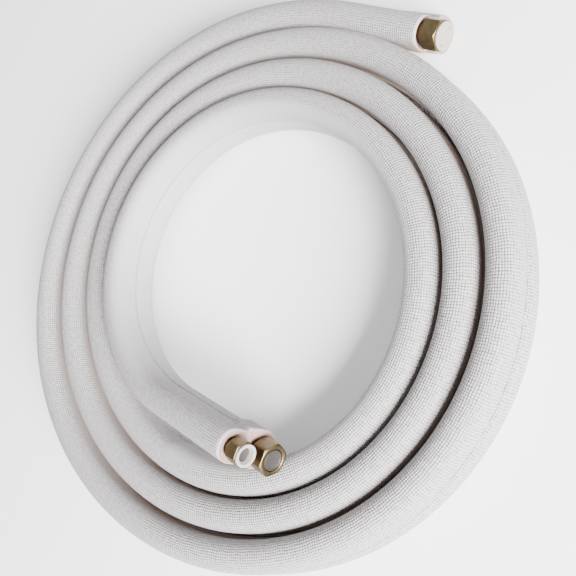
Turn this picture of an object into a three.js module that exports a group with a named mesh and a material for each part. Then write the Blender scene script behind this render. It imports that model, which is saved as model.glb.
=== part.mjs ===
// Twin insulated copper line set for a split air conditioner, lying flat as a loose coil.
// Units are millimetres, +Z is up. The coil's axis is +Z and the floor is z = 0.
// The thicker suction line lies on the floor and the thinner liquid line rides on top of it.
import * as THREE from 'three';

// Coil in plan: radius as a function of the winding angle, counted from the outer end inwards.
const MEAN_RADIUS = 187.1;
const PITCH = 29.9;
const PITCH_GROWTH = 0.67;
const MID_TURN = 1.9;
const OVAL = 7.2;
const OVAL_TOWARDS = -7.4;
const LOOSE = 3.5;
const LOOSE_TOWARDS = 19.7;
const OVAL_GAIN = 2.5;
const OVAL_GAIN_TOWARDS = 113;
const SPRING_IN = 5.3;
const SPRING_FROM = 1170;
const RISE = 34;
const RISE_FROM = 1130;
const CURVE_START = 87;
const CURVE_END = 1351;
const OUTER_TAIL = 73;
const INNER_TAIL = 97;
const OUTER_LEAN = 9.5;
const LEAN_FROM = 150;
const LEAN_SPAN = 80;
const RINGS_PER_TURN = 26;

// Clearance between pieces that touch.
const GAP = 0.3;

// Foam sleeves, measured across the flats of their sections.
const SUCTION_FOAM = 25.2;
const SLIMMER_BY = 1.6;
const LIQUID_FOAM = SUCTION_FOAM - SLIMMER_BY;
const FOAM_SIDES = 12;
const BORE_SIDES = 8;
const POCKET_DEPTH = 5;
const BURIED_DEPTH = 7;

// Copper tubes.
const SUCTION_TUBE = 9.52;
const LIQUID_TUBE = 6.35;
const COPPER_WALL = 0.8;
const FLARE_ANGLE = 45;
const TUBE_SIDES = 8;

// Flare nuts: across flats, neck, thread and lengths beyond the cut end of the foam.
const LARGE_HEX = 22;
const SMALL_HEX = 17;
const LARGE_NUT_LENGTH = 16;
const SMALL_NUT_LENGTH = 13;
const LARGE_THREAD = 15.9;
const SMALL_THREAD = 11.1;
const NECK_RATIO = 0.72;
const NECK_BURIED = 3;
const NECK_LENGTH = 1.5;
const SHOULDER_LENGTH = 3;
const CHAMFER_ANGLE = 30;
const NUT_SIDES = 18;
const THROAT_LENGTH = 5;

// Push-in plugs.
const PLUG_DEPTH = 5;
const PLUG_WALL = 1.4;
const FLANGE = 1.7;
const FLANGE_RATIO = 0.96;
const DEEP_CUP = 4;
const SHALLOW_CUP = 0.6;
const FLUSH_DISC = 2;

const copper = new THREE.MeshStandardMaterial({ color: 0xb87350, roughness: 0.35, metalness: 1 });
const brass = new THREE.MeshStandardMaterial({ color: 0xa9843f, roughness: 0.38, metalness: 1 });
const foam = new THREE.MeshStandardMaterial({ color: 0xdedbd6, roughness: 0.8, metalness: 0 });
const white = new THREE.MeshStandardMaterial({ color: 0xe9e7e4, roughness: 0.5, metalness: 0 });
const grey = new THREE.MeshStandardMaterial({ color: 0x9a9089, roughness: 0.55, metalness: 0 });

const rad = THREE.MathUtils.degToRad;
const UP = new THREE.Vector3(0, 0, 1);
const suctionHeight = SUCTION_FOAM / 2;
const lineSpacing = SUCTION_FOAM / 2 + GAP + LIQUID_FOAM / 2;

// Point of the suction line's axis at a winding angle in degrees.
function spiral(angle) {
  const turn = angle / 360 - MID_TURN;
  const oval = OVAL * Math.cos(2 * rad(angle - OVAL_TOWARDS));
  const loose = LOOSE * Math.cos(rad(angle - LOOSE_TOWARDS));
  const gain = OVAL_GAIN * Math.cos(2 * rad(angle - OVAL_GAIN_TOWARDS));
  const sprung = SPRING_IN * (Math.max(angle - SPRING_FROM, 0) / 100) ** 2;
  const radius = MEAN_RADIUS - PITCH * turn + PITCH_GROWTH * turn ** 2
    + oval + turn * (loose + gain) - sprung;
  const height = RISE * (Math.max(angle - RISE_FROM, 0) / (CURVE_END - RISE_FROM)) ** 2;
  return new THREE.Vector3(radius * Math.cos(rad(angle)), radius * Math.sin(rad(angle)),
    suctionHeight + height);
}

// Unit direction of travel at a winding angle.
function heading(angle) {
  return spiral(angle + 0.25).sub(spiral(angle - 0.25)).normalize();
}

// Axis of one line as a polyline: straight outer tail, curved turns, straight inner tail.
// level is its height above the suction line's axis, along the pair's own upright.
function lineAxis(level) {
  const count = Math.round((CURVE_END - CURVE_START) / 360 * RINGS_PER_TURN);
  const stops = Array.from({ length: count + 1 },
    (_, i) => CURVE_START + (CURVE_END - CURVE_START) * i / count);
  const outerAngle = CURVE_START - OUTER_TAIL / spiral(CURVE_START).length() / rad(1);
  const place = (point, direction, angle) => {
    const out = direction.clone().cross(UP).normalize();
    const upright = out.clone().cross(direction).normalize();
    const lean = -OUTER_LEAN * (Math.max(LEAN_FROM - angle, 0) / LEAN_SPAN) ** 2;
    return point.clone().addScaledVector(upright, level)
      .addScaledVector(out, level > 0 ? lean : 0);
  };
  const first = heading(CURVE_START), last = heading(CURVE_END);
  const start = spiral(CURVE_START).addScaledVector(first, -OUTER_TAIL);
  const finish = spiral(CURVE_END).addScaledVector(last, INNER_TAIL);
  return [place(start, first, outerAngle), ...stops.map(a => place(spiral(a), heading(a), a)),
    place(finish, last, CURVE_END)];
}

// Mitred frames along a polyline: side and upright vectors in the plane of each ring.
function frames(axis) {
  const step = axis.slice(1).map((p, i) => p.clone().sub(axis[i]).normalize());
  return axis.map((point, i) => {
    const before = step[Math.max(i - 1, 0)], after = step[Math.min(i, step.length - 1)];
    const along = before.clone().add(after).normalize();
    const side = along.clone().cross(UP).normalize();
    const upright = side.clone().cross(along).normalize();
    return { point, along, side: side.divideScalar(along.dot(before)), upright };
  });
}

// The frame moved along its own direction, for the straight ends.
function moved(frame, distance) {
  return { ...frame, point: frame.point.clone().addScaledVector(frame.along, distance) };
}

// One ring of points: radius may be a number or a function of the angle round the axis.
function ring(frame, sides, radius, turn = 0) {
  return Array.from({ length: sides }, (_, k) => {
    const a = 2 * Math.PI * (k + turn) / sides;
    const r = typeof radius === 'function' ? radius(a) : radius;
    return { angle: a, at: frame.point.clone().addScaledVector(frame.side, r * Math.cos(a))
      .addScaledVector(frame.upright, r * Math.sin(a)) };
  });
}

// Triangles between two rings of the same count, running forwards along the axis.
function skin(rings, out) {
  for (let i = 0; i + 1 < rings.length; i++) {
    const a = rings[i], b = rings[i + 1], n = a.length;
    for (let k = 0; k < n; k++) {
      const m = (k + 1) % n;
      out.push(a[k].at, b[m].at, a[m].at, a[k].at, b[k].at, b[m].at);
    }
  }
}

// Flat end between an outer and an inner ring whose counts may differ.
function annulus(outer, inner, out, forwards) {
  let i = 0, j = 0;
  const n = outer.length, m = inner.length;
  const angle = (r, k) => r[k % r.length].angle + 2 * Math.PI * Math.floor(k / r.length);
  const push = (a, b, c) => forwards ? out.push(a, c, b) : out.push(a, b, c);
  while (i < n || j < m) {
    const takeOuter = j >= m || (i < n && angle(outer, i + 1) <= angle(inner, j + 1));
    if (takeOuter) {
      push(outer[i % n].at, outer[(i + 1) % n].at, inner[j % m].at);
      i++;
    } else {
      push(outer[i % n].at, inner[(j + 1) % m].at, inner[j % m].at);
      j++;
    }
  }
}

function meshFrom(name, points, material) {
  const geometry = new THREE.BufferGeometry().setFromPoints(points);
  geometry.computeVertexNormals();
  const mesh = new THREE.Mesh(geometry, material);
  mesh.name = name;
  return mesh;
}

// Hollow sweep: the outer rings run one way and the inner rings come back inside them.
function hollow(name, outer, inner, material) {
  const points = [];
  skin(outer, points);
  const lining = [];
  skin(inner, lining);
  for (let i = 0; i < lining.length; i += 3) points.push(lining[i], lining[i + 2], lining[i + 1]);
  annulus(outer.at(-1), inner.at(-1), points, true);
  annulus(outer[0], inner[0], points, false);
  return meshFrom(name, points, material);
}

// Solid or cup turned about a frame's axis, from stations [distance, radius] that start and
// end on the axis.
function turned(name, frame, stations, sides, material) {
  const points = [];
  const loops = stations.slice(1, -1).map(([s, r]) => ring(moved(frame, s), sides, r));
  const tip = moved(frame, stations[0][0]).point, end = moved(frame, stations.at(-1)[0]).point;
  for (let k = 0; k < sides; k++) {
    points.push(tip, loops[0][k].at, loops[0][(k + 1) % sides].at);
    points.push(end, loops.at(-1)[(k + 1) % sides].at, loops.at(-1)[k].at);
  }
  skin(loops, points);
  return meshFrom(name, points, material);
}

// Ring-shaped body: the stations [distance, radius] close on themselves round the section,
// and either may be a function of the angle about the axis.
function collar(name, frame, stations, sides, material) {
  const loops = stations.map(([s, r]) => Array.from({ length: sides }, (_, k) => {
    const a = 2 * Math.PI * k / sides;
    const at = moved(frame, typeof s === 'function' ? s(a) : s);
    return ring(at, sides, r)[k];
  }));
  const points = [];
  skin([...loops, loops[0]], points);
  return meshFrom(name, points, material);
}

const circumscribed = (apothem, sides) => apothem / Math.cos(Math.PI / sides);

// Everything that belongs to one nut, in distances outwards from the foam's cut end.
function nutSizes(hex, thread, length, tube) {
  const neck = hex * NECK_RATIO / 2;
  const throat = circumscribed(tube / 2 + GAP, NUT_SIDES);
  const bore = thread / 2;
  const seat = -NECK_BURIED + THROAT_LENGTH;
  return { hex, neck, throat, bore, length, seat, cone: seat + (bore - throat) };
}

// A hexagon's radius at an angle, with corners at multiples of 60 degrees.
function hexRadius(hex, angle) {
  const sector = Math.PI / 3;
  const off = ((angle % sector) + sector) % sector - sector / 2;
  return hex / 2 / Math.cos(off);
}

function flareNut(name, frame, n) {
  const flat = n.hex / 2;
  const edge = flat * 0.97;
  const corner = a => hexRadius(n.hex, a);
  const drop = a => (corner(a) - edge) * Math.tan(rad(CHAMFER_ANGLE));
  const shoulder = NECK_LENGTH + SHOULDER_LENGTH;
  return collar(name, frame, [
    [-NECK_BURIED, n.throat], [-NECK_BURIED, n.neck], [NECK_LENGTH, n.neck],
    [shoulder, edge], [a => shoulder + drop(a), corner],
    [a => n.length - drop(a), corner], [n.length, edge],
    [n.length, n.bore], [n.cone, n.bore], [n.seat, n.throat]
  ], NUT_SIDES, brass);
}

// Cup-shaped plug: stem inside the thread, flange over the nut's face, open recess outwards.
function flangedPlug(name, frame, n, cup, material) {
  const stem = n.bore - circumscribed(GAP, NUT_SIDES) - GAP / 2;
  const face = n.length + GAP;
  const flange = n.hex / 2 * FLANGE_RATIO;
  return turned(name, frame, [
    [face - PLUG_DEPTH, 0], [face - PLUG_DEPTH, stem], [face, stem], [face, flange],
    [face + FLANGE, flange], [face + FLANGE, stem - PLUG_WALL],
    [face + FLANGE - cup, stem - PLUG_WALL], [face + FLANGE - cup, 0]
  ], NUT_SIDES, material);
}

// Plain disc that closes the thread just inside the nut's rim.
function flushPlug(name, frame, n, material) {
  const radius = n.bore - circumscribed(GAP, NUT_SIDES) - GAP / 2;
  const face = n.length - GAP;
  return turned(name, frame, [
    [face - PLUG_DEPTH, 0], [face - PLUG_DEPTH, radius], [face, radius],
    [face, radius - PLUG_WALL], [face - FLUSH_DISC, radius - PLUG_WALL], [face - FLUSH_DISC, 0]
  ], NUT_SIDES, material);
}

// Foam sleeve on one line, with a wider pocket at each end that takes a nut's neck.
function sleeve(name, line, width, tube, pockets) {
  const outer = line.map(f => ring(f, FOAM_SIDES, circumscribed(width / 2, FOAM_SIDES), 0.5));
  const bore = circumscribed(tube / 2 + GAP, BORE_SIDES);
  const start = moved(line[0], POCKET_DEPTH), finish = moved(line.at(-1), -POCKET_DEPTH);
  const wide = pockets.map(r => circumscribed(r, BORE_SIDES));
  const inner = [
    ring(line[0], BORE_SIDES, wide[0], 0.5), ring(start, BORE_SIDES, wide[0], 0.5),
    ring(start, BORE_SIDES, bore, 0.5), ...line.slice(1, -1).map(f => ring(f, BORE_SIDES, bore, 0.5)),
    ring(finish, BORE_SIDES, bore, 0.5), ring(finish, BORE_SIDES, wide[1], 0.5),
    ring(line.at(-1), BORE_SIDES, wide[1], 0.5)
  ];
  return hollow(name, outer, inner, foam);
}

// Copper tube: ends are distances beyond the foam's cut, with a flare seated in each nut.
function copperTube(name, line, tube, ends) {
  const radius = tube / 2, hole = radius - COPPER_WALL;
  const outer = line.slice(1, -1).map(f => ring(f, TUBE_SIDES, radius, 0.5));
  const inner = line.slice(1, -1).map(f => ring(f, TUBE_SIDES, hole, 0.5));
  const cap = (frame, sign, end) => {
    const at = (s, r) => ring(moved(frame, sign * s), TUBE_SIDES, r, 0.5);
    if (!end.flare) return { out: [at(end.reach, radius)], in: [at(end.reach, hole)] };
    const grow = end.flare - radius;
    return {
      out: [at(end.reach, radius), at(end.reach + grow, end.flare)],
      in: [at(end.reach, hole), at(end.reach + grow, end.flare - COPPER_WALL)]
    };
  };
  const a = cap(line[0], -1, ends[0]), b = cap(line.at(-1), 1, ends[1]);
  return hollow(name, [...a.out.reverse(), ...outer, ...b.out],
    [...a.in.reverse(), ...inner, ...b.in], copper);
}

// Where a tube's flare starts inside a nut, and how wide it opens.
function flareIn(n, tube) {
  const slack = 1.5 * GAP / Math.sin(rad(FLARE_ANGLE));
  return { reach: n.seat + slack, flare: n.bore - circumscribed(GAP, TUBE_SIDES) - slack };
}

const suctionLine = frames(lineAxis(0));
const liquidLine = frames(lineAxis(lineSpacing));
const reversed = f => ({ ...f, along: f.along.clone().negate(), side: f.side.clone().negate() });
const outerEnd = line => reversed(line[0]);
const innerEnd = line => line.at(-1);

const innerLiquid = nutSizes(SMALL_HEX, SMALL_THREAD, SMALL_NUT_LENGTH, LIQUID_TUBE);
const innerSuction = nutSizes(LARGE_HEX, LARGE_THREAD, LARGE_NUT_LENGTH, SUCTION_TUBE);
const outerLiquid = nutSizes(LARGE_HEX, LARGE_THREAD, LARGE_NUT_LENGTH, LIQUID_TUBE);
const liquidFlare = flareIn(innerLiquid, LIQUID_TUBE);
const outerFlare = { ...liquidFlare, reach: outerLiquid.seat + liquidFlare.reach - innerLiquid.seat };
const buriedStem = (SUCTION_TUBE / 2 - COPPER_WALL) * Math.cos(Math.PI / TUBE_SIDES) - GAP;
const buried = moved(outerEnd(suctionLine), -BURIED_DEPTH);

const lineSet = new THREE.Group();
lineSet.add(
  sleeve('suction_line_foam', suctionLine, SUCTION_FOAM, SUCTION_TUBE,
    [SUCTION_TUBE / 2 + GAP, innerSuction.neck + GAP]),
  sleeve('liquid_line_foam', liquidLine, LIQUID_FOAM, LIQUID_TUBE,
    [outerLiquid.neck + GAP, innerLiquid.neck + GAP]),
  copperTube('suction_line_copper', suctionLine, SUCTION_TUBE,
    [{ reach: -BURIED_DEPTH }, flareIn(innerSuction, SUCTION_TUBE)]),
  copperTube('liquid_line_copper', liquidLine, LIQUID_TUBE, [outerFlare, liquidFlare]),
  flareNut('inner_liquid_nut', innerEnd(liquidLine), innerLiquid),
  flareNut('inner_suction_nut', innerEnd(suctionLine), innerSuction),
  flareNut('outer_liquid_nut', outerEnd(liquidLine), outerLiquid),
  flangedPlug('inner_liquid_plug', innerEnd(liquidLine), innerLiquid, DEEP_CUP, white),
  flushPlug('inner_suction_plug', innerEnd(suctionLine), innerSuction, grey),
  flangedPlug('outer_liquid_plug', outerEnd(liquidLine), outerLiquid, SHALLOW_CUP, white),
  turned('outer_suction_plug', buried, [
    [-PLUG_DEPTH, 0], [-PLUG_DEPTH, buriedStem], [GAP, buriedStem], [GAP, SUCTION_TUBE / 2],
    [GAP + FLANGE, SUCTION_TUBE / 2], [GAP + FLANGE, 0]
  ], NUT_SIDES, white)
);

// The origin is the middle of the footprint, on the floor.
const box = new THREE.Box3().setFromObject(lineSet);
const middle = box.getCenter(new THREE.Vector3());
lineSet.position.set(-middle.x, -middle.y, -box.min.z);

export default lineSet;
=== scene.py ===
"""Mini split line set: two copper tubes in white embossed foam, bonded one over the other, coiled.

Sizes are millimetres and degrees in the CAD frame. Meshes, lights and the camera are in metres.
"""
from collections import namedtuple
from types import SimpleNamespace
import bmesh
import bpy
import numpy as np
from mathutils import Matrix


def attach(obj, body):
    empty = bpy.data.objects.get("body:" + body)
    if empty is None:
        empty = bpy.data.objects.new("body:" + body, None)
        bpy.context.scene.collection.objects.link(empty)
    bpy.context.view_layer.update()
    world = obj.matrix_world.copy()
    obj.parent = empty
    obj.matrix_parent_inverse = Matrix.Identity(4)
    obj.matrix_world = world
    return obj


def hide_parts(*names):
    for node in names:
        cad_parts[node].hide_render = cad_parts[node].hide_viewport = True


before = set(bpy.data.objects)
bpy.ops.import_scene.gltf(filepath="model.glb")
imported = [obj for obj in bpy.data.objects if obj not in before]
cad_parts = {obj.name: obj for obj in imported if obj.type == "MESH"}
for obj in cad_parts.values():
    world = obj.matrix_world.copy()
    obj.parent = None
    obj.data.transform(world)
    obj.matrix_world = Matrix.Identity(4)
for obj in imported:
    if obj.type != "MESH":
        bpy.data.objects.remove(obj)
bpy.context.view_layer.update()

METRES = 0.001
POLE_JOIN = 1e-8  # metres
UP = np.array([0.0, 0.0, 1.0])

# Spiral of the coil, in the solids' own values: its axis, then radius against winding angle.
AXIS_X, AXIS_Y = 12.309, -5.630
MEAN_RADIUS, PITCH, PITCH_GROWTH, MID_TURN = 187.1, 29.9, 0.67, 1.9
OVAL, OVAL_TOWARDS = 7.2, -7.4
LOOSE, LOOSE_TOWARDS = 3.5, 19.7
OVAL_GAIN, OVAL_GAIN_TOWARDS = 2.5, 113
SPRING_IN, SPRING_FROM, SPRING_SPAN = 5.3, 1170, 100
RISE, RISE_FROM = 34, 1130
CURVE_START, CURVE_END = 87, 1351
OUTER_TAIL, INNER_TAIL = 73, 97
OUTER_LEAN, LEAN_FROM, LEAN_SPAN = 9.5, 150, 80

# Stations along the line and points round its section.
STATION_STEP, TAIL_STATIONS, INNER_TAIL_ANGLE = 1.3, 24, 50
SECTION_POINTS, LINING_STRIDE, LINING_INSET = 56, 8, 6

# Tubes and foam sleeves. A half width is the most that the section takes beside its axis.
SUCTION_TUBE, LIQUID_TUBE = 9.52, 6.35
SUCTION_FOAM, LIQUID_FOAM, BOND_GAP, SEAM_SLIT = 25.2, 23.6, 0.3, 0.02
SUCTION_HALF_WIDTH, LIQUID_HALF_WIDTH, EYE_HALF_WIDTH = 13.3, 12.0, 12.6
TURN_CLEARANCE, ALONE, TAIL_SPREAD = 0.05, 90.0, 15
ROUND_POWER, OUTER_SEAM_POWER, EYE_SEAM_POWER = 2.1, 5.0, 14.0
TIGHT_HALF_WIDTH, TIGHT_SPAN = 11, 2
CUFF_SWELL, CUFF_LENGTH, CUFF_RISE = 3.0, 27, 6
CUFF_SIDE, CUFF_FADE = 0.35, 0.7
BORE_CLEARANCE, POCKET_CLEARANCE, POCKET_DEPTH = 0.15, 0.3, 5
POCKET_RIM, POCKET_BEVEL, BORE_BEVEL = 0.8, 0.3, 0.2
DISH, FILM_EDGE, FILM_SOFT = 1.8, 0.5, 0.3

# Slow waves of the foam's skin: reach, which is the length over two pi, then phase, and how
# the phase changes across the section and towards the bond.
SKIN_WAVE = 0.012
SKIN_WAVES = ((23, 0.0, 1.3, 0), (37, 2.1, 0, 1), (61, 4.0, 1.7, 0))

# Painted shade and relief of the skin. The valley is the space beside the next turn, where the
# foam's colour is darkened towards brown as painted shade, and the pressed wall is the side that
# faces the eye. A side is a cosine round the section.
VALLEY_GAP, VALLEY_REACH, VALLEY_TOP, VALLEY_FADE = 24, 17, 4, 9
VALLEY_SIDE, VALLEY_SIDE_FADE, VALLEY_FLAT = 0.15, 0.5, 0.7
PRESSED_FROM, PRESSED_FADE, PRESSED_SIDE, PRESSED_FLAT = 90, 60, 0.6, 0.55
SKIN_START = 1.5

# Emboss of the skin, with shade painted dark grey into its grooves: lengths in millimetres,
# noise scales in cycles to a millimetre.
PILLOW_PITCHES, PILLOW_POWER = (("X", 2.05), ("Y", 2.1)), 2.6
WANDER_SCALE, WANDER_REACH = 0.11, (1.6, 1.6, 0)
# Random patches where the painted groove shade is weaker.
PATCH_SCALE, PATCH_FROM, PATCH_TO, PATCH_LEAST = 0.3, 0.35, 0.6, 0.55
FOLD_SCALES, FOLD_RISE = (0.22, 0.035, 0), 0.7
# The second value is how far the colour goes to the painted brown shade deep in a valley.
GROOVE_START, VALLEY_SHADE_MIX = 0.35, 0.8

# Flare nuts: across flats, length, bore radius and neck radius.
Nut = namedtuple("Nut", "across length bore neck")
LARGE_NUT = Nut(22.0, 16.0, 7.95, 7.92)
SMALL_NUT = Nut(17.0, 13.0, 5.55, 6.12)
NECK_BURIED, NECK_END, SHOULDER = 3, 1.5, 5.0
NECK_GAP, BARREL_GAP, BARREL_END, BARREL_RATIO = 0.3, 0.5, 3.2, 0.6
CHAMFER_ANGLE, CHAMFER_SPAN, RIM_RATIO = 30, 3, 0.965
RIM_BREAK, BORE_BREAK, NECK_BREAK = 0.35, 0.5, 0.4
THROAT_CLEARANCE, SEAT = 0.35, 2.0
NECK_ROWS, SHOULDER_ROWS, BARREL_ROWS, CHAMFER_ROWS = 6, 26, 5, 22
NUT_POINTS, ENVELOPE_SOFT, ENVELOPE_ABOUT = 120, 0.12, 8
CORNER_SOFT, CORNER_CUT, CORNER_TRIM = 0.6, 0.35, 0.06

# Plugs. A front lists the corners past the flange's edge as depth behind the front and radius.
PLUG_DEPTH, PLUG_PLAY, PLUG_GAP, FLANGE, FLANGE_RATIO = 5.0, 0.45, 0.3, 1.7, 0.96
PLUG_POINTS, CORNER_REACH = 96, 0.22
CUP_FRONT = ((0, 6.2), (1.4, 5.6), (4.0, 5.4), (4.0, 0))
DISC_FRONT, DISC_CHAMFER = ((0, 10.1), (0, 8.6), (0.3, 8.3), (0.3, 0)), 0.4
FLUSH_RIM, FLUSH_FLOOR, FLUSH_DEPTH = 0.9, 1.1, 0.5
SPECK_RADIUS, SPECK_OFFSET, SPECK_DROP, SPECK_DEPTH = 0.75, 6.8, 0.8, 0.2
SPECK_EDGE, SPECK_CROWN, SPECK_POINTS = 0.04, 0.06, 24

SUCTION_HEIGHT = SUCTION_FOAM / 2
LINE_SPACING = SUCTION_FOAM / 2 + BOND_GAP + LIQUID_FOAM / 2


# Paths

def unit(v):
    """Vectors along the last axis divided by their lengths."""
    return v / np.linalg.norm(v, axis=-1, keepdims=True)


def eased(x):
    """Zero below 0, one above 1, and 3x squared minus 2x cubed between."""
    x = np.clip(x, 0, 1)
    return x * x * (3 - 2 * x)


def spiral(angle):
    """Suction line's axis at winding angles: an oval spiral with turns wider spaced on
    one side, sprung inwards and upwards by a square law near its inner end."""
    turn = angle / 360 - MID_TURN
    oval = OVAL * np.cos(2 * np.radians(angle - OVAL_TOWARDS))
    loose = LOOSE * np.cos(np.radians(angle - LOOSE_TOWARDS))
    gain = OVAL_GAIN * np.cos(2 * np.radians(angle - OVAL_GAIN_TOWARDS))
    sprung = SPRING_IN * (np.maximum(angle - SPRING_FROM, 0) / SPRING_SPAN) ** 2
    radius = MEAN_RADIUS - PITCH * turn + PITCH_GROWTH * turn ** 2 + oval
    radius = radius + turn * (loose + gain) - sprung
    rise = RISE * (np.maximum(angle - RISE_FROM, 0) / (CURVE_END - RISE_FROM)) ** 2
    a = np.radians(angle)
    return np.stack([radius * np.cos(a) + AXIS_X, radius * np.sin(a) + AXIS_Y,
                     SUCTION_HEIGHT + rise], -1)


def heading(angle):
    """Unit direction of travel along the spiral."""
    step = 0.25
    return unit(spiral(angle + step) - spiral(angle - step))


def beside(point, direction, level, angle):
    """Points at a level over the suction line's axis, along the pair's own upright. The upper
    line also leans in by a square law near the outer end."""
    out = unit(np.cross(direction, UP))
    upright = np.cross(out, direction)
    lean = -OUTER_LEAN * (np.maximum(LEAN_FROM - angle, 0) / LEAN_SPAN) ** 2
    return point + upright * level + out * np.reshape(lean * (level > 0), (-1, 1))


def line_axis(level):
    """Axis of one line as close points and their winding angles: a straight outer tail, the
    turns, and a straight inner tail."""
    turns = np.linspace(CURVE_START, CURVE_END,
                        int((CURVE_END - CURVE_START) / STATION_STEP) + 1)
    radius = np.linalg.norm(spiral(turns[0]) - [AXIS_X, AXIS_Y, 0])
    tip = CURVE_START - np.degrees(OUTER_TAIL / radius)
    first, last = heading(turns[:1]), heading(turns[-1:])
    start = beside(spiral(turns[:1]) - first * OUTER_TAIL, first, level, np.array([tip]))
    finish = beside(spiral(turns[-1:]) + last * INNER_TAIL, last, level, turns[-1:])
    middle = beside(spiral(turns), heading(turns), level, turns)
    t = np.arange(TAIL_STATIONS)[:, None] / TAIL_STATIONS
    outer = start + (middle[:1] - start) * t
    inner = (finish + (middle[-1:] - finish) * t)[::-1]
    angle = np.concatenate([tip + (CURVE_START - tip) * t[:, 0], turns,
                            CURVE_END + INNER_TAIL_ANGLE * (1 - t[::-1, 0])])
    return np.concatenate([outer, middle, inner]), angle


def spacing(angle, shift):
    """Distance from each point of the coil to the turn that is shift degrees away, or ALONE
    where there is none. Straight tails have no angle of their own: theirs runs on past the
    curve's, so the distance beside them is approximate."""
    other = angle + shift
    gap = np.linalg.norm(spiral(other) - spiral(angle), axis=-1)
    return np.where((other < CURVE_START - TAIL_SPREAD) | (other > CURVE_END), ALONE, gap)


def line_route(level):
    """One line's axis with its unit side, upright and forward vectors, the distance travelled
    and the distance to the next turns. The side vector is level and points outward."""
    points, angle = line_axis(level)
    along = unit(np.gradient(points, axis=0))
    along[0], along[-1] = unit(points[1] - points[0]), unit(points[-1] - points[-2])
    side = unit(np.cross(along, UP))
    steps = np.linalg.norm(np.diff(points, axis=0), axis=1)
    return SimpleNamespace(
        points=points, side=side, upright=np.cross(side, along), along=along, level=level,
        travelled=np.concatenate([[0], np.cumsum(steps)]), length=steps.sum(),
        inward=spacing(angle, 360), outward=spacing(angle, -360))


# Meshes

def grid_mesh(name, points, closed, uv=None, layers=None, marks=None):
    """Object from a grid of points (rows, columns, 3) in millimetres. Columns close round the
    section, and rows close too when closed is set. uv is (rows, columns + 1, 2) in millimetres,
    layers holds one value per point by name, and marks a material number per row of faces."""
    rows, columns = points.shape[:2]
    i = np.arange(rows if closed else rows - 1)[:, None]
    k = np.arange(columns)[None, :]
    after, right = (i + 1) % rows, (k + 1) % columns
    faces = np.stack([i * columns + k, after * columns + k,
                      after * columns + right, i * columns + right], -1).reshape(-1, 4)
    mesh = bpy.data.meshes.new(name)
    mesh.vertices.add(rows * columns)
    mesh.vertices.foreach_set("co", (points.reshape(-1) * METRES).astype(np.float32))
    mesh.loops.add(faces.size)
    mesh.loops.foreach_set("vertex_index", faces.reshape(-1).astype(np.int32))
    mesh.polygons.add(len(faces))
    mesh.polygons.foreach_set("loop_start", np.arange(0, faces.size, 4, dtype=np.int32))
    mesh.update(calc_edges=True)
    mesh.polygons.foreach_set("use_smooth", np.ones(len(faces), bool))
    if uv is not None:
        corners = np.stack([uv[i, k], uv[after, k], uv[after, k + 1], uv[i, k + 1]], -2)
        layer = mesh.uv_layers.new(name="surface_mm")
        layer.data.foreach_set("uv", corners.reshape(-1).astype(np.float32))
    for key, values in (layers or {}).items():
        data = mesh.attributes.new(key, "FLOAT", "POINT").data
        data.foreach_set("value", values.reshape(-1).astype(np.float32))
    if marks is not None:
        numbers = np.repeat(marks, columns).astype(np.int32)
        mesh.polygons.foreach_set("material_index", numbers)
    mesh.validate()
    piece = bpy.data.objects.new(name, mesh)
    bpy.context.scene.collection.objects.link(piece)
    return piece


def turned(name, end, distance, radius, columns):
    """Surface turned about a tube's axis from rows of distance and radius: point = centre +
    along * distance + ring * radius, where the radius may vary round the ring. A profile that
    starts and ends at radius 0 is joined at its poles, and any other closes on itself."""
    centre, side, upright, along = end
    a = np.arange(columns) * 2 * np.pi / columns
    ring = np.cos(a)[None, :, None] * side + np.sin(a)[None, :, None] * upright
    r = np.reshape(radius, (len(distance), -1)) * np.ones(columns)
    points = centre + along * np.reshape(distance, (-1, 1, 1)) + ring * r[..., None]
    solid = bool(r[0, 0] == 0)
    piece = grid_mesh(name, points, closed=not solid)
    if solid:
        shell = bmesh.new()
        shell.from_mesh(piece.data)
        bmesh.ops.remove_doubles(shell, verts=shell.verts[:], dist=POLE_JOIN)
        shell.to_mesh(piece.data)
        shell.free()
    return piece


# Foam sleeves

def section_radius(route, cos, sin, to_bond, width, half_width, cuff):
    """Radius of a sleeve by station and by angle round it. The section is a superellipse,
    |x / half width| ** n + |y / half height| ** n = 1, nearly round on its free side and blunt
    towards the bond, where a high n leaves a narrow seam. Its half width is kept within half
    the distance to the next turn. Slow waves then roughen it where it lies loose, by up to
    SKIN_WAVE of its radius, and over the last CUFF_LENGTH the side facing the eye swells."""
    room_in = np.minimum(half_width, route.inward / 2 - TURN_CLEARANCE)
    room_in = np.where(route.inward == ALONE, EYE_HALF_WIDTH, room_in)
    room_out = np.minimum(half_width, route.outward / 2 - TURN_CLEARANCE)
    half_x = np.where(cos > 0, room_out[:, None], room_in[:, None])
    half_y = np.where(to_bond > 0, (width + BOND_GAP) / 2 - SEAM_SLIT, width / 2)
    seam_power = np.where(cos > 0, OUTER_SEAM_POWER, EYE_SEAM_POWER)
    power = ROUND_POWER + (seam_power - ROUND_POWER) * np.sqrt(np.clip(to_bond, 0, 1))
    radius = (np.abs(cos / half_x) ** power + np.abs(sin / half_y) ** power) ** (-1 / power)
    u = route.travelled[:, None]
    wave = sum(np.sin(u / reach + phase + turn * cos + tilt * to_bond)
               for reach, phase, turn, tilt in SKIN_WAVES) / len(SKIN_WAVES)
    slack = np.clip((half_x - TIGHT_HALF_WIDTH) / TIGHT_SPAN, 0, 1) * np.clip(1 - to_bond, 0, 1)
    swell = eased((CUFF_LENGTH - route.length + u) / CUFF_RISE) * eased((CUFF_SIDE - cos) / CUFF_FADE)
    return radius * (1 + SKIN_WAVE * wave * slack) + cuff * swell


def section_points(route, stations, radius, cos, sin, depth=0.0):
    """Points of the sections at some stations, each moved by depth along the line."""
    middle = route.points[stations] + route.along[stations] * depth
    return (middle[:, None] + route.side[stations][:, None] * (radius * cos)[..., None]
            + route.upright[stations][:, None] * (radius * sin)[..., None])


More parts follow.
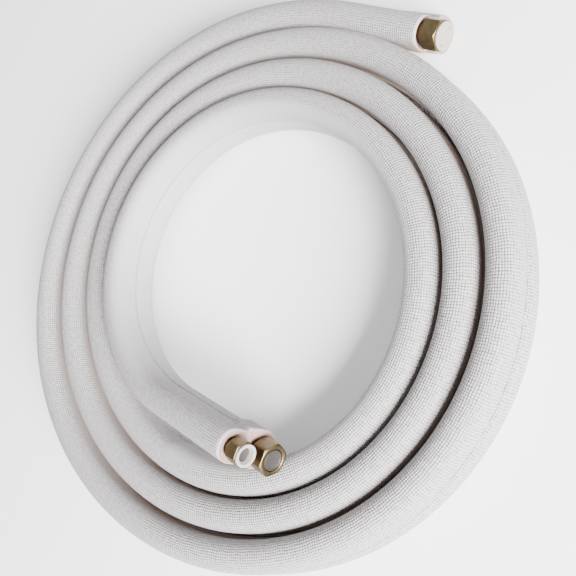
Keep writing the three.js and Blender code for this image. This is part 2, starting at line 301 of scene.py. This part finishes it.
def cut_end(route, station, towards, radius, pocket, bore, cos, sin):
    """Rings of a cut end from its rim to its bore: the film's edge, the dished face, and the
    pocket round the nut's neck or the tube. towards is 1 or -1, the way into the foam."""
    rim = radius[station]
    rings = ((rim - FILM_EDGE, 0), (rim - 2 * FILM_EDGE, DISH / 2), (pocket + POCKET_RIM, DISH),
             (pocket, DISH + POCKET_BEVEL), (pocket, POCKET_DEPTH),
             (bore, POCKET_DEPTH + BORE_BEVEL))
    return np.concatenate([section_points(route, [station], r, cos, sin, towards * depth)
                           for r, depth in rings])


def valley_shade(route, cos, height):
    """How deep each point lies in the valley beside the next turn, 0 to 1: it fades with the
    distance to that turn, towards the top of the coil and on faces that look up or down. The
    foam's colour is darkened towards brown by it, as painted shade."""
    near_turn = [np.exp(-(np.maximum(gap - VALLEY_GAP, 0) / VALLEY_REACH) ** 2)[:, None]
                 for gap in (route.outward, route.inward)]
    deep = eased((LINE_SPACING + VALLEY_TOP - height) / VALLEY_FADE)
    deep = deep * eased((np.abs(cos) - VALLEY_SIDE) / VALLEY_SIDE_FADE)
    return np.where(cos > 0, *near_turn) * deep


def sleeve(name, node, route, width, half_width, tube, pockets, cuff=0):
    """Foam sleeve: the section carried along the line, then through the inner cut end, back
    along the bore and out through the outer cut end."""
    theta = (np.arange(SECTION_POINTS) + 0.5) * 2 * np.pi / SECTION_POINTS
    cos, sin = np.cos(theta)[None], np.sin(theta)[None]
    to_bond = -sin if route.level > 0 else sin
    radius = section_radius(route, cos, sin, to_bond, width, half_width, cuff)
    stations = np.arange(len(route.points))
    outside = section_points(route, stations, radius, cos, sin)
    for station, towards in ((0, 1), (-1, -1)):
        softened = radius[station] - FILM_SOFT * FILM_EDGE
        outside[station] = section_points(route, [station], softened, cos, sin,
                                          FILM_SOFT * FILM_EDGE * towards)[0]
    bore = tube / 2 + BORE_CLEARANCE
    lining = section_points(route, stations[-LINING_INSET:LINING_INSET - 1:-LINING_STRIDE], bore, cos, sin)
    outer_pocket, inner_pocket = (pocket + POCKET_CLEARANCE for pocket in pockets)
    inner_cut = cut_end(route, -1, -1, radius, inner_pocket, bore, cos, sin)
    outer_cut = cut_end(route, 0, 1, radius, outer_pocket, bore, cos, sin)[::-1]
    hidden = np.concatenate([inner_cut, lining, outer_cut])

    def over_all(values):
        """Values of the outside, with 0 on the cut ends and in the bore."""
        return np.concatenate([values, np.zeros((len(hidden), SECTION_POINTS))])

    spare = route.length - route.travelled
    # Painted shade: how deep each point lies in the valley, which darkens the foam's colour there.
    valley = valley_shade(route, cos, radius * sin + (LINE_SPACING if route.level > 0 else 0))
    bare = (route.inward == ALONE) * eased((spare - PRESSED_FROM) / PRESSED_FADE)
    pressed = eased(-cos / PRESSED_SIDE) * bare[:, None]
    skin = eased(np.minimum(route.travelled, spare) / SKIN_START)[:, None]
    skin = skin * (1 - PRESSED_FLAT * pressed) * (1 - VALLEY_FLAT * valley)
    across = np.arange(SECTION_POINTS + 1) * np.linalg.norm(np.diff(outside, axis=1), axis=2).mean()
    down = np.concatenate([route.travelled, np.full(len(hidden), route.length)])
    uv = np.stack(np.broadcast_arrays(down[:, None], across[None]), -1)
    marks = np.concatenate([np.zeros(len(outside) - 1), np.ones(len(hidden) + 1)])
    piece = grid_mesh(name, np.concatenate([outside, hidden]), True, uv, {
        "valley": over_all(valley), "skin": over_all(skin), "pressed": over_all(pressed)}, marks)
    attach(piece, "line_set")
    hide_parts(node)
    return piece


def line_ends(route):
    """Centre, side, upright and outward direction of a line's outer and inner ends."""
    outer = (route.points[0], -route.side[0], route.upright[0], -route.along[0])
    inner = (route.points[-1], route.side[-1], route.upright[-1], route.along[-1])
    return outer, inner


# Flare nuts and plugs

def dress(piece, node, slot, *finishes):
    """Puts a piece in a node's place, on its body, with its materials."""
    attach(piece, node)
    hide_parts(node)
    for finish in finishes:
        piece.data.materials.append(finish)


def soft_minimum(a, b, soft, about=0.0):
    """Smaller of two values with a rounded change between them."""
    return about - soft * np.log(np.exp((about - a) / soft) + np.exp((about - b) / soft))


def hexagon(across, angle):
    """Radius of a hexagon at each angle, its corners slightly rounded."""
    sector = np.pi / 3
    flat = across / 2 / np.cos(angle % sector - sector / 2)
    corner = across / 2 / np.cos(sector / 2) - CORNER_SOFT * CORNER_CUT
    return soft_minimum(flat, corner, CORNER_SOFT) + CORNER_SOFT * CORNER_TRIM


def flare_nut(name, node, end, nut, tube, finish):
    """Forged flare nut: the smaller of a hexagon and a turned envelope, which is a neck, a
    shoulder rounded as a quarter ellipse, a barrel and a chamfer. The bore, the cone that the
    flare seats on and the throat close it."""
    angle = np.arange(NUT_POINTS) * 2 * np.pi / NUT_POINTS
    distance = np.concatenate([
        np.linspace(-NECK_BURIED, NECK_END - NECK_GAP, NECK_ROWS),
        np.linspace(NECK_END, NECK_END + SHOULDER, SHOULDER_ROWS),
        np.linspace(NECK_END + SHOULDER + BARREL_GAP, nut.length - BARREL_END, BARREL_ROWS),
        np.linspace(nut.length - CHAMFER_SPAN, nut.length, CHAMFER_ROWS)])
    t = np.clip((distance - NECK_END) / SHOULDER, 0, 1)
    envelope = nut.neck + (nut.across * BARREL_RATIO - nut.neck) * np.sqrt(1 - (1 - t) ** 2)
    rim = nut.across / 2 * RIM_RATIO
    chamfer = rim + (nut.length - distance) / np.tan(np.radians(CHAMFER_ANGLE))
    radius = soft_minimum(hexagon(nut.across, angle)[None],
                          np.minimum(envelope, chamfer)[:, None], ENVELOPE_SOFT,
                          ENVELOPE_ABOUT)
    throat = tube / 2 + THROAT_CLEARANCE
    inside = np.array([(nut.length, rim - RIM_BREAK), (nut.length, nut.bore + BORE_BREAK),
                       (nut.length - BORE_BREAK, nut.bore),
                       (SEAT + nut.bore - throat, nut.bore), (SEAT, throat),
                       (-NECK_BURIED, throat), (-NECK_BURIED, nut.neck - NECK_BREAK)])
    inner_radius = np.repeat(inside[:, 1:], NUT_POINTS, 1)
    piece = turned(name, end, np.concatenate([distance, inside[:, 0]]),
                   np.concatenate([radius, inner_radius]), NUT_POINTS)
    dress(piece, node, "brass", finish)


def plug(name, node, end, profile, slot, *finishes, recess=0):
    """Moulded plug turned from corners of (distance, radius) that start and end on the axis.
    Each corner between is rounded over CORNER_REACH. The face inside the last recess corners
    takes the second material."""
    corners = np.array(profile, float)
    middle = corners[1:-1]
    before = middle + unit(corners[:-2] - middle) * CORNER_REACH
    after = middle + unit(corners[2:] - middle) * CORNER_REACH
    rounded = (before + after) / 4 + middle / 2
    rows = np.stack([before, rounded, after], 1).reshape(-1, 2)
    rows = np.concatenate([corners[:1], rows, corners[-1:]])
    piece = turned(name, end, rows[:, 0], rows[:, 1], PLUG_POINTS)
    outside = (len(rows) - 3 * recess - 1) * PLUG_POINTS
    inside = np.arange(len(piece.data.polygons)) >= outside
    piece.data.polygons.foreach_set("material_index", inside.astype(np.int32))
    dress(piece, node, slot, *finishes)


def flanged(nut, corners, chamfer=0):
    """Profile of a plug with a stem in the nut's bore and a flange over its front. The
    flange's edge stops a chamfer behind the front, and the front's corners follow it."""
    stem, back = nut.bore - PLUG_PLAY, nut.length + PLUG_GAP
    edge, front = nut.across / 2 * FLANGE_RATIO, nut.length + PLUG_GAP + FLANGE
    return [(back - PLUG_DEPTH, 0), (back - PLUG_DEPTH, stem), (back, stem), (back, edge)] + [
        (front - depth, radius) for depth, radius in ((chamfer, edge), *corners)]


def flush(nut):
    """Profile of a plug whose rim is just inside the nut's face, round a shallow recess."""
    stem, rim = nut.bore - PLUG_PLAY, nut.length - PLUG_GAP
    return [(rim - PLUG_DEPTH, 0), (rim - PLUG_DEPTH, stem), (rim, stem), (rim, stem - FLUSH_RIM),
            (rim - FLUSH_DEPTH, stem - FLUSH_FLOOR), (rim - FLUSH_DEPTH, 0)]


def specks(end, finish):
    """Two small dark discs, barely proud of the large plug's face."""
    centre, *directions = end
    face = LARGE_NUT.length + FLANGE
    for number, offset in enumerate((-SPECK_OFFSET, SPECK_OFFSET)):
        spot = centre + directions[0] * offset - directions[1] * SPECK_DROP
        piece = turned(f"speck_{number}", (spot, *directions),
                       [face - SPECK_DEPTH, face + SPECK_EDGE, face + SPECK_CROWN],
                       [0, SPECK_RADIUS, 0], SPECK_POINTS)
        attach(piece, "outer_liquid_plug")
        piece.data.materials.append(finish)


# Materials

def linear(code):
    """Linear colour from an sRGB hex code, by the standard's own curve."""
    srgb = np.array([int(code[k:k + 2], 16) for k in (1, 3, 5)]) / 255
    return (*np.where(srgb <= 0.04045, srgb / 12.92, ((srgb + 0.055) / 1.055) ** 2.4), 1.0)


def add(tree, kind, inputs, **settings):
    """Adds a shader node. settings are its properties, and inputs are values or links by
    socket."""
    made = tree.nodes.new("ShaderNode" + kind)
    for key, value in settings.items():
        setattr(made, key, value)
    for key, value in inputs.items():
        if isinstance(value, bpy.types.NodeSocket):
            tree.links.new(value, made.inputs[key])
        else:
            made.inputs[key].default_value = value
    return made


def maths(tree, operation, *values):
    """Result of one maths node."""
    return add(tree, "Math", dict(enumerate(values)), operation=operation).outputs[0]


def ramp(tree, factor, low, high, start=0.0):
    """Colour between two hex codes, where factor runs from start to 1."""
    made = add(tree, "ValToRGB", {"Fac": factor})
    made.color_ramp.elements[0].color = linear(low)
    made.color_ramp.elements[0].position = start
    made.color_ramp.elements[1].color = linear(high)
    return made.outputs["Color"]


def bump(tree, height, strength, distance):
    """Normal of a relief, whose distance is in millimetres."""
    return add(tree, "Bump", {"Height": height, "Strength": strength,
                              "Distance": distance * METRES}).outputs["Normal"]


def material(name):
    """Empty material: returns it, its tree, and a function that sets its shader's sockets."""
    made = bpy.data.materials.new(name)
    made.use_nodes = True
    tree = made.node_tree
    tree.nodes.clear()
    shader = add(tree, "BsdfPrincipled", {})
    add(tree, "OutputMaterial", {"Surface": shader.outputs["BSDF"]})

    def surface(inputs):
        for key, value in inputs.items():
            if isinstance(value, bpy.types.NodeSocket):
                tree.links.new(value, shader.inputs[key])
            else:
                shader.inputs[key].default_value = value
    return made, tree, surface


def embossed_foam():
    """Film-skinned polyethylene foam: white held at a mid tone under strong light, with shade
    painted grey into the grooves between embossed square pillows 2 mm apart, shade painted
    brown between the turns and the faint gloss of the film. The pillows wander a little, the
    painted groove shade is paler in random patches, and on the wall of the eye the pillows are
    pressed flatter, with faint folds across it."""
    made, tree, surface = material("embossed_polyethylene_foam")
    uv = add(tree, "UVMap", {}, uv_map="surface_mm").outputs["UV"]
    skin, pressed, valley = (add(tree, "Attribute", {}, attribute_name=name).outputs["Fac"]
                             for name in ("skin", "pressed", "valley"))

    def noise(vector, scale, detail):
        return add(tree, "TexNoise", {"Vector": vector, "Scale": scale, "Detail": detail},
                   noise_dimensions="2D").outputs

    wander = add(tree, "VectorMath", {0: noise(uv, WANDER_SCALE, 1.0)["Color"],
                                  1: WANDER_REACH, 2: uv}, operation="MULTIPLY_ADD").outputs["Vector"]
    place = add(tree, "SeparateXYZ", {"Vector": wander}).outputs
    rise = []
    for axis, pitch in PILLOW_PITCHES:
        part = maths(tree, "FRACT", maths(tree, "DIVIDE", place[axis], pitch))
        off_middle = maths(tree, "ABSOLUTE", maths(tree, "MULTIPLY_ADD", part, 2.0, -1.0))
        rise.append(maths(tree, "SUBTRACT", 1.0, maths(tree, "POWER", off_middle, PILLOW_POWER)))
    pillow = maths(tree, "MULTIPLY", *rise)
    # The painted shade in the grooves is weaker in random patches.
    patchy_groove_shade = add(tree, "MapRange", {
        "Value": noise(uv, PATCH_SCALE, 3.0)["Fac"], "From Min": PATCH_FROM,
        "From Max": PATCH_TO, "To Min": PATCH_LEAST}).outputs["Result"]
    groove = maths(tree, "MULTIPLY", maths(tree, "SUBTRACT", 1.0, pillow), patchy_groove_shade)
    stretched = add(tree, "VectorMath", {0: uv, 1: FOLD_SCALES}, operation="MULTIPLY")
    folds = noise(stretched.outputs["Vector"], 1.0, 2.0)["Fac"]
    height = maths(tree, "MULTIPLY_ADD", maths(tree, "MULTIPLY", folds, pressed), FOLD_RISE,
                   maths(tree, "MULTIPLY", pillow, skin))
    # Painted shade: the film's colour goes dark grey in the grooves between the pillows.
    film = ramp(tree, maths(tree, "MULTIPLY", groove, skin), "#A6A3A3", "#55504E",
                start=GROOVE_START)
    # Painted shade: deep in the valleys between the turns the colour mixes towards brown.
    painted_valley_shade = add(tree, "Mix", {0: maths(tree, "MULTIPLY", valley, VALLEY_SHADE_MIX), 6: film,
                             7: linear("#A58F85")}, data_type="RGBA")
    surface({"Base Color": painted_valley_shade.outputs[2], "Normal": bump(tree, height, strength=0.85, distance=0.7),
             "Roughness": 0.62, "Specular IOR Level": 0.35})
    return made


def cut_foam():
    """Cut face of the foam: matt, pinkish, with closed cells about 0.6 mm across."""
    made, tree, surface = material("cut_polyethylene_foam")
    place = add(tree, "TexCoord", {}).outputs["Object"]
    cells = add(tree, "TexVoronoi", {"Vector": place, "Scale": 1700.0}).outputs["Distance"]
    surface({"Base Color": ramp(tree, cells, "#8C6A5F", "#A08B82"),
             "Normal": bump(tree, cells, strength=0.4, distance=0.2), "Roughness": 0.75})
    return made


def mottled(name, low, high, scale, detail):
    """Material whose tone drifts between two colours in clouds, scale of them to a metre:
    returns it, its tree, its surface function and the clouds."""
    made, tree, surface = material(name)
    place = add(tree, "TexCoord", {}).outputs["Object"]
    clouds = add(tree, "TexNoise", {"Vector": place, "Scale": scale,
                                    "Detail": detail}).outputs["Fac"]
    surface({"Base Color": ramp(tree, clouds, low, high)})
    return made, tree, surface, clouds


def machined_brass():
    """Forged and turned brass: an olive gold, dulled unevenly by handling."""
    made, tree, surface, clouds = mottled("machined_brass", "#51452F", "#75664A",
                                          scale=260.0, detail=4.0)
    gloss = add(tree, "MapRange", {"Value": clouds, "To Min": 0.3, "To Max": 0.45})
    surface({"Roughness": gloss.outputs["Result"], "Metallic": 1.0,
             "Normal": bump(tree, clouds, strength=0.15, distance=0.1)})
    return made


def drawn_copper():
    """Soft drawn copper tube: pink-orange, smooth and faintly cloudy."""
    made, _, surface, _ = mottled("drawn_copper", "#B5714F", "#D08A66", scale=180.0, detail=3.0)
    surface({"Metallic": 1.0, "Roughness": 0.32})
    return made


def moulded_plastic(name, low, high):
    """Moulded soft polyethylene: a low sheen with a faint mottle."""
    made, tree, surface, clouds = mottled(name, low, high, scale=420.0, detail=2.0)
    surface({"Normal": bump(tree, clouds, strength=0.12, distance=0.1), "Roughness": 0.48})
    return made


def paper_floor():
    """Matt white paper under the part."""
    made, _, surface = material("white_paper_floor")
    surface({"Base Color": linear("#F6F6F6"), "Roughness": 0.9, "Specular IOR Level": 0.1})
    return made


# Build

foam, cut = embossed_foam(), cut_foam()
brass, copper = machined_brass(), drawn_copper()
white = moulded_plastic("white_polyethylene_cap", "#857E79", "#989189")
grey = moulded_plastic("grey_polyethylene_plug", "#1E1A18", "#2A2522")

suction, liquid = line_route(0), line_route(LINE_SPACING)
sleeves = (
    sleeve("suction_sleeve", "suction_line_foam", suction, SUCTION_FOAM, SUCTION_HALF_WIDTH,
           SUCTION_TUBE, (SUCTION_TUBE / 2, LARGE_NUT.neck), CUFF_SWELL),
    sleeve("liquid_sleeve", "liquid_line_foam", liquid, LIQUID_FOAM, LIQUID_HALF_WIDTH,
           LIQUID_TUBE, (LARGE_NUT.neck, SMALL_NUT.neck)))
for foam_sleeve in sleeves:
    foam_sleeve.data.materials.append(foam)
    foam_sleeve.data.materials.append(cut)

suction_outer, suction_inner = line_ends(suction)
liquid_outer, liquid_inner = line_ends(liquid)
flare_nut("small_nut", "inner_liquid_nut", liquid_inner, SMALL_NUT, LIQUID_TUBE, brass)
flare_nut("large_nut", "inner_suction_nut", suction_inner, LARGE_NUT, SUCTION_TUBE, brass)
flare_nut("outer_nut", "outer_liquid_nut", liquid_outer, LARGE_NUT, LIQUID_TUBE, brass)
plug("small_plug", "inner_liquid_plug", liquid_inner, flanged(SMALL_NUT, CUP_FRONT),
     "white_plug", white, grey, recess=2)
plug("flat_plug", "outer_liquid_plug", liquid_outer,
     flanged(LARGE_NUT, DISC_FRONT, DISC_CHAMFER), "white_plug", white)
plug("flush_plug", "inner_suction_plug", suction_inner, flush(LARGE_NUT), "grey_plug", grey)
specks(liquid_outer, grey)

for key, finish in (("suction_line_copper", copper), ("liquid_line_copper", copper),
                    ("outer_suction_plug", white)):
    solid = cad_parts[key]
    solid.data.materials.clear()
    solid.data.materials.append(finish)


# Floor, light and camera

FLOOR_REACH = 6
KEY_PLACE, KEY_SIZE, KEY_POWER, KEY_TINT = (2.1, -0.5, 1.1), 1.2, 480, (1.0, 0.995, 0.985)
FILL_PLACE, FILL_SIZE, FILL_POWER, FILL_TINT = (-1.2, 1.2, 1.9), 2.0, 6, (0.97, 0.98, 1.0)
SKY_TINT, SKY_STRENGTH = (0.9, 0.9, 0.92, 1), 1.0

# The photograph's viewpoint: tilt from the coil's axis, roll, distance, and focal length and
# picture width in pixels. It aims at a point of the suction line's plane.
VIEW_TILT, VIEW_ROLL, VIEW_DISTANCE, FOCAL_PIXELS, PICTURE_PIXELS = 37.97, 21.03, 598.3, 744.9, 576
AIM = np.array([AXIS_X + 31.29, AXIS_Y + 2.87, SUCTION_HEIGHT])
SENSOR = 36


def stand(thing, place, right, up, back):
    """Stands a light or camera at a place in metres, looking against its back direction."""
    bpy.context.scene.collection.objects.link(thing)
    turn = Matrix(np.stack([right, up, back], 1).tolist()).to_4x4()
    thing.matrix_world = Matrix.Translation(list(place)) @ turn


def area_light(name, place, size, power, tint):
    """Square soft light at a place in metres, facing the origin of the frame."""
    data = bpy.data.lights.new(name, "AREA")
    data.size, data.energy, data.color = size, power, tint
    back = unit(np.array(place, float))
    across = unit(np.cross(UP, back))
    stand(bpy.data.objects.new(name, data), place, across, np.cross(back, across), back)


def photo_camera():
    """Camera at the photograph's viewpoint."""
    tilt, roll = np.radians(VIEW_TILT), np.radians(VIEW_ROLL)
    back = np.array([np.sin(tilt), 0, np.cos(tilt)])
    level = np.array([np.cos(tilt), 0, -np.sin(tilt)])
    north = np.array([0.0, 1.0, 0.0])
    right = np.cos(roll) * level + np.sin(roll) * north
    over = -np.sin(roll) * level + np.cos(roll) * north
    lens = bpy.data.cameras.new("photo_view")
    lens.sensor_width = SENSOR
    lens.lens = FOCAL_PIXELS * SENSOR / PICTURE_PIXELS
    lens.clip_start, lens.clip_end = 0.01, 50
    camera = bpy.data.objects.new("photo_view", lens)
    stand(camera, (AIM + VIEW_DISTANCE * back) * METRES, right, over, back)
    bpy.context.scene.camera = camera


floor = bpy.data.objects.new("floor", bpy.data.meshes.new("floor"))
floor.data.from_pydata([(x * FLOOR_REACH, y * FLOOR_REACH, 0)
                        for x, y in ((-1, -1), (1, -1), (1, 1), (-1, 1))], [], [(0, 1, 2, 3)])
floor.data.materials.append(paper_floor())
bpy.context.scene.collection.objects.link(floor)

area_light("key", KEY_PLACE, KEY_SIZE, KEY_POWER, KEY_TINT)
area_light("fill", FILL_PLACE, FILL_SIZE, FILL_POWER, FILL_TINT)
world = bpy.data.worlds.new("studio")
world.use_nodes = True
world.node_tree.nodes["Background"].inputs["Color"].default_value = SKY_TINT
world.node_tree.nodes["Background"].inputs["Strength"].default_value = SKY_STRENGTH
bpy.context.scene.world = world
photo_camera()

bpy.context.view_layer.update()
